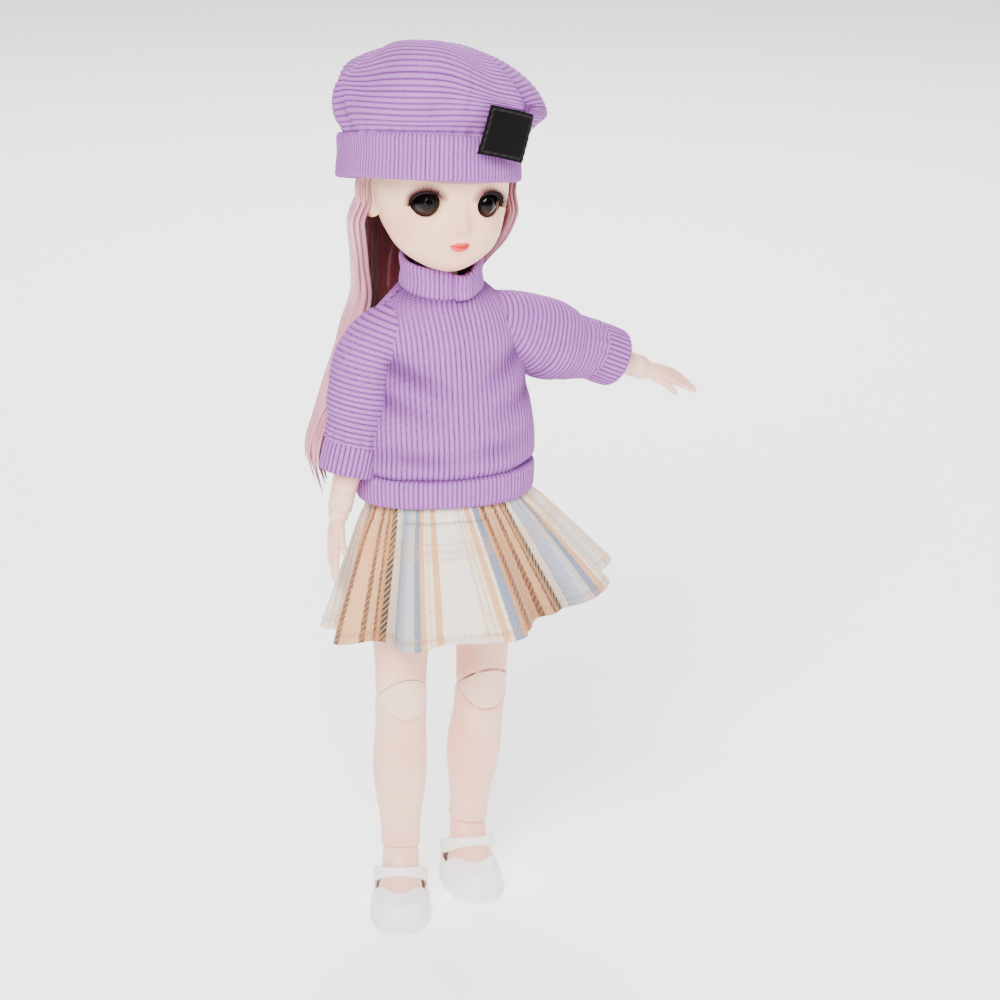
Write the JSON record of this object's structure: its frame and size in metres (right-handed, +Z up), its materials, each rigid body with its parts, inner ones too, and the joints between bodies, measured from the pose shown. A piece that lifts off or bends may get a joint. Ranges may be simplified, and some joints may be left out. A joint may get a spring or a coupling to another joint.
{
  "type": "ball jointed doll",
  "caption": "Dressed ball jointed doll that stands on its soles, with a beret, wig, sweater, skirt and strapped shoes, and joints from neck to ankle.",
  "frame": {"origin": "middle of the bounding box on the plane of the soles", "axes": "+Z up, -Y the way the doll faces, +X the doll's left side"},
  "size_m": [0.143, 0.086, 0.2991],
  "materials": {
    "skin": "satin skin-tone vinyl",
    "joint": "smooth moulded joint pieces",
    "eye": "clear gloss over a dark iris",
    "knit": "ribbed lilac knit",
    "plaid": "woven plaid cotton",
    "hair": "soft pink synthetic fibre",
    "shoe": "off-white soft vinyl",
    "label": "black woven label, blank"
  },
  "bodies": {
    "pelvis": {"pelvis": "skin", "skirt_waistband": "plaid", "skirt": "plaid"},
    "waist": {"waist_ball": "joint"},
    "chest": {"chest": "skin", "sweater_hem": "knit", "sweater_body": "knit", "sweater_collar": "knit", "sleeve_right": "knit", "sleeve_left": "knit"},
    "neck": {"neck": "skin"},
    "neck_ball": {"neck_ball": "joint"},
    "head": {"face_shell": "skin", "skull_cap": "skin", "eye_right": "eye", "eye_left": "eye", "wig_cap": "hair", "hair_back": "hair"},
    "beret": {"beret_band": "knit", "beret_crown": "knit", "beret_label": "label"},
    "shoulder_right": {"shoulder_ball_right": "joint"},
    "upper_arm_right": {"upper_arm_right": "skin"},
    "elbow_right": {"elbow_right": "joint"},
    "forearm_right": {"forearm_right": "skin", "cuff_right": "knit"},
    "wrist_right": {"wrist_right": "skin"},
    "hand_right": {"hand_right": "skin"},
    "hip_right": {"hip_ball_right": "joint"},
    "thigh_right": {"thigh_right": "skin"},
    "knee_right": {"knee_right": "joint"},
    "shin_right": {"shin_right": "skin"},
    "ankle_right": {"ankle_peg_right": "joint"},
    "foot_right": {"foot_right": "skin", "shoe_sole_right": "shoe", "shoe_upper_right": "shoe", "shoe_strap_right": "shoe"},
    "shoulder_left": {"shoulder_ball_left": "joint"},
    "upper_arm_left": {"upper_arm_left": "skin"},
    "elbow_left": {"elbow_left": "joint"},
    "forearm_left": {"forearm_left": "skin", "cuff_left": "knit"},
    "wrist_left": {"wrist_left": "skin"},
    "hand_left": {"hand_left": "skin"},
    "hip_left": {"hip_ball_left": "joint"},
    "thigh_left": {"thigh_left": "skin"},
    "knee_left": {"knee_left": "joint"},
    "shin_left": {"shin_left": "skin"},
    "ankle_left": {"ankle_peg_left": "joint"},
    "foot_left": {"foot_left": "skin", "shoe_sole_left": "shoe", "shoe_upper_left": "shoe", "shoe_strap_left": "shoe"}
  },
  "joints": [
    {"name": "beret_lift", "type": "slide", "parent": "head", "child": "beret", "axis": [0.1721, 0.1155, 0.9783], "range_m": [0, 0.05]},
    {"name": "head_turn", "type": "hinge", "parent": "neck_ball", "child": "head", "pos_m": [-0.02493, -0.00011, 0.23751], "axis": [0.0785, 0, 0.9969], "range_deg": [-50, 50], "deforming": ["hair_back", "sweater_collar", "sweater_body"]},
    {"name": "head_tilt", "type": "hinge", "parent": "neck", "child": "neck_ball", "pos_m": [-0.02493, -0.00011, 0.23751], "axis": [0, 1, 0], "range_deg": [-14, 6], "deforming": ["hair_back", "sweater_collar", "sweater_body"]},
    {"name": "neck_nod", "type": "hinge", "parent": "chest", "child": "neck", "pos_m": [-0.02493, -0.00011, 0.21401], "axis": [1, 0, 0], "range_deg": [-10, 12], "deforming": ["hair_back", "sweater_collar", "sweater_body"]},
    {"name": "waist_turn", "type": "hinge", "parent": "pelvis", "child": "waist", "pos_m": [-0.02493, -0.00211, 0.16351], "axis": [0, 0, 1], "range_deg": [-25, 25], "deforming": ["hair_back", "skirt", "skirt_waistband", "sweater_hem", "sweater_body", "sleeve_right", "sleeve_left", "cuff_right", "cuff_left"]},
    {"name": "waist_bend", "type": "hinge", "parent": "waist", "child": "chest", "pos_m": [-0.02493, -0.00211, 0.16351], "axis": [1, 0, 0], "range_deg": [-12, 18], "deforming": ["hair_back", "skirt", "skirt_waistband", "sweater_hem", "sweater_body", "sleeve_right", "sleeve_left", "cuff_right", "cuff_left"]},
    {"name": "shoulder_swing_right", "type": "hinge", "parent": "chest", "child": "shoulder_right", "pos_m": [-0.04793, -0.00211, 0.20651], "axis": [-1, 0, 0], "range_deg": [-52, 158], "deforming": ["sleeve_right", "cuff_right", "sweater_body", "sweater_hem", "sweater_collar", "hair_back", "skirt", "skirt_waistband"]},
    {"name": "shoulder_raise_right", "type": "hinge", "parent": "shoulder_right", "child": "upper_arm_right", "pos_m": [-0.04793, -0.00211, 0.20651], "axis": [0, 0.9994, -0.0349], "range_deg": [-6, 96], "deforming": ["sleeve_right", "cuff_right", "sweater_body", "sweater_hem", "sweater_collar", "hair_back", "skirt", "skirt_waistband"]},
    {"name": "elbow_twist_right", "type": "hinge", "parent": "upper_arm_right", "child": "elbow_right", "pos_m": [-0.05543, -0.00316, 0.17645], "axis": [0.2419, 0.0339, 0.9697], "range_deg": [-80, 80], "deforming": ["sleeve_right", "cuff_right", "sweater_body", "sweater_hem", "sweater_collar", "hair_back", "skirt", "skirt_waistband"]},
    {"name": "elbow_bend_right", "type": "hinge", "parent": "elbow_right", "child": "forearm_right", "pos_m": [-0.05543, -0.00316, 0.17645], "axis": [-0.9703, 0.0084, 0.2418], "range_deg": [0, 85], "deforming": ["sleeve_right", "cuff_right", "sweater_body", "sweater_hem", "sweater_collar", "hair_back", "skirt", "skirt_waistband"]},
    {"name": "wrist_turn_right", "type": "hinge", "parent": "forearm_right", "child": "wrist_right", "pos_m": [-0.06341, -0.00428, 0.14445], "axis": [0.2419, 0.0339, 0.9697], "range_deg": [-60, 60], "deforming": ["skirt", "cuff_right"]},
    {"name": "wrist_bend_right", "type": "hinge", "parent": "wrist_right", "child": "hand_right", "pos_m": [-0.06341, -0.00428, 0.14445], "axis": [0, -0.9994, 0.0349], "range_deg": [-25, 20], "deforming": ["skirt", "cuff_right"]},
    {"name": "shoulder_swing_left", "type": "hinge", "parent": "chest", "child": "shoulder_left", "pos_m": [-0.00193, -0.00211, 0.20651], "axis": [-1, 0, 0], "range_deg": [-24, 180], "deforming": ["sleeve_left", "cuff_left", "sweater_body", "sweater_hem", "sweater_collar", "hair_back", "skirt", "skirt_waistband"]},
    {"name": "shoulder_raise_left", "type": "hinge", "parent": "shoulder_left", "child": "upper_arm_left", "pos_m": [-0.00193, -0.00211, 0.20651], "axis": [0, -0.9033, -0.4289], "range_deg": [-53, 48], "deforming": ["sleeve_left", "cuff_left", "sweater_body", "sweater_hem", "sweater_collar", "hair_back", "skirt", "skirt_waistband"]},
    {"name": "elbow_twist_left", "type": "hinge", "parent": "upper_arm_left", "child": "elbow_left", "pos_m": [0.02539, 0.00417, 0.19328], "axis": [-0.8813, -0.2027, 0.4269], "range_deg": [-80, 80], "deforming": ["sleeve_left", "cuff_left", "sweater_body", "sweater_hem", "sweater_collar", "hair_back", "skirt", "skirt_waistband"]},
    {"name": "elbow_bend_left", "type": "hinge", "parent": "elbow_left", "child": "forearm_left", "pos_m": [0.02539, 0.00417, 0.19328], "axis": [-0.4726, 0.378, -0.7961], "range_deg": [0, 85], "deforming": ["sleeve_left", "cuff_left", "sweater_body", "sweater_hem", "sweater_collar", "hair_back", "skirt", "skirt_waistband"]},
    {"name": "wrist_turn_left", "type": "hinge", "parent": "forearm_left", "child": "wrist_left", "pos_m": [0.05448, 0.01086, 0.17919], "axis": [-0.8813, -0.2027, 0.4269], "range_deg": [-60, 60], "deforming": ["skirt", "cuff_left"]},
    {"name": "wrist_bend_left", "type": "hinge", "parent": "wrist_left", "child": "hand_left", "pos_m": [0.05448, 0.01086, 0.17919], "axis": [0, 0.9033, 0.4289], "range_deg": [-35, 10], "deforming": ["skirt", "cuff_left"]},
    {"name": "hip_swing_right", "type": "hinge", "parent": "pelvis", "child": "hip_right", "pos_m": [-0.04023, -0.00211, 0.13101], "axis": [-1, 0, 0], "range_deg": [-20, 70], "deforming": ["skirt", "skirt_waistband", "sweater_hem", "sweater_body"]},
    {"name": "hip_spread_right", "type": "hinge", "parent": "hip_right", "child": "thigh_right", "pos_m": [-0.04023, -0.00211, 0.13101], "axis": [0, 0.9954, -0.0958], "range_deg": [0, 40], "deforming": ["skirt", "skirt_waistband", "sweater_hem", "sweater_body"]},
    {"name": "knee_upper_right", "type": "hinge", "parent": "thigh_right", "child": "knee_right", "pos_m": [-0.04219, -0.0068, 0.08227], "axis": [0.9992, -0.0038, -0.0399], "range_deg": [0, 55], "deforming": ["skirt"]},
    {"name": "knee_lower_right", "type": "hinge", "parent": "knee_right", "child": "shin_right", "pos_m": [-0.0426, -0.00776, 0.07233], "axis": [0.9992, -0.0038, -0.0399], "range_deg": [0, 55], "deforming": ["skirt"]},
    {"name": "ankle_turn_right", "type": "hinge", "parent": "shin_right", "child": "ankle_right", "pos_m": [-0.04463, -0.01261, 0.022], "axis": [0.0401, 0.0958, 0.9946], "range_deg": [-15, 15]},
    {"name": "ankle_flex_right", "type": "hinge", "parent": "ankle_right", "child": "foot_right", "pos_m": [-0.04463, -0.01261, 0.022], "axis": [0.9389, -0.3441, -0.0048], "range_deg": [-20, 20]},
    {"name": "hip_swing_left", "type": "hinge", "parent": "pelvis", "child": "hip_left", "pos_m": [-0.00963, -0.00211, 0.13101], "axis": [-1, 0, 0], "range_deg": [-17, 73], "deforming": ["skirt", "skirt_waistband", "sweater_hem", "sweater_body"]},
    {"name": "hip_spread_left", "type": "hinge", "parent": "hip_left", "child": "thigh_left", "pos_m": [-0.00963, -0.00211, 0.13101], "axis": [0, -0.9992, 0.0405], "range_deg": [0, 44], "deforming": ["skirt", "skirt_waistband", "sweater_hem", "sweater_body"]},
    {"name": "knee_upper_left", "type": "hinge", "parent": "thigh_left", "child": "knee_left", "pos_m": [-0.01159, -0.00409, 0.08209], "axis": [0.9992, -0.0016, -0.0401], "range_deg": [-5, 50], "deforming": ["skirt"]},
    {"name": "knee_lower_left", "type": "hinge", "parent": "knee_left", "child": "shin_left", "pos_m": [-0.01199, -0.00363, 0.07211], "axis": [0.9992, -0.0016, -0.0401], "range_deg": [-5, 50], "deforming": ["skirt"]},
    {"name": "ankle_turn_left", "type": "hinge", "parent": "shin_left", "child": "ankle_left", "pos_m": [-0.01399, 0.00314, 0.022], "axis": [0.0395, -0.1337, 0.9902], "range_deg": [-15, 15]},
    {"name": "ankle_flex_left", "type": "hinge", "parent": "ankle_left", "child": "foot_left", "pos_m": [-0.01399, 0.00314, 0.022], "axis": [0.9897, -0.131, -0.0572], "range_deg": [-20, 20]}
  ]
}
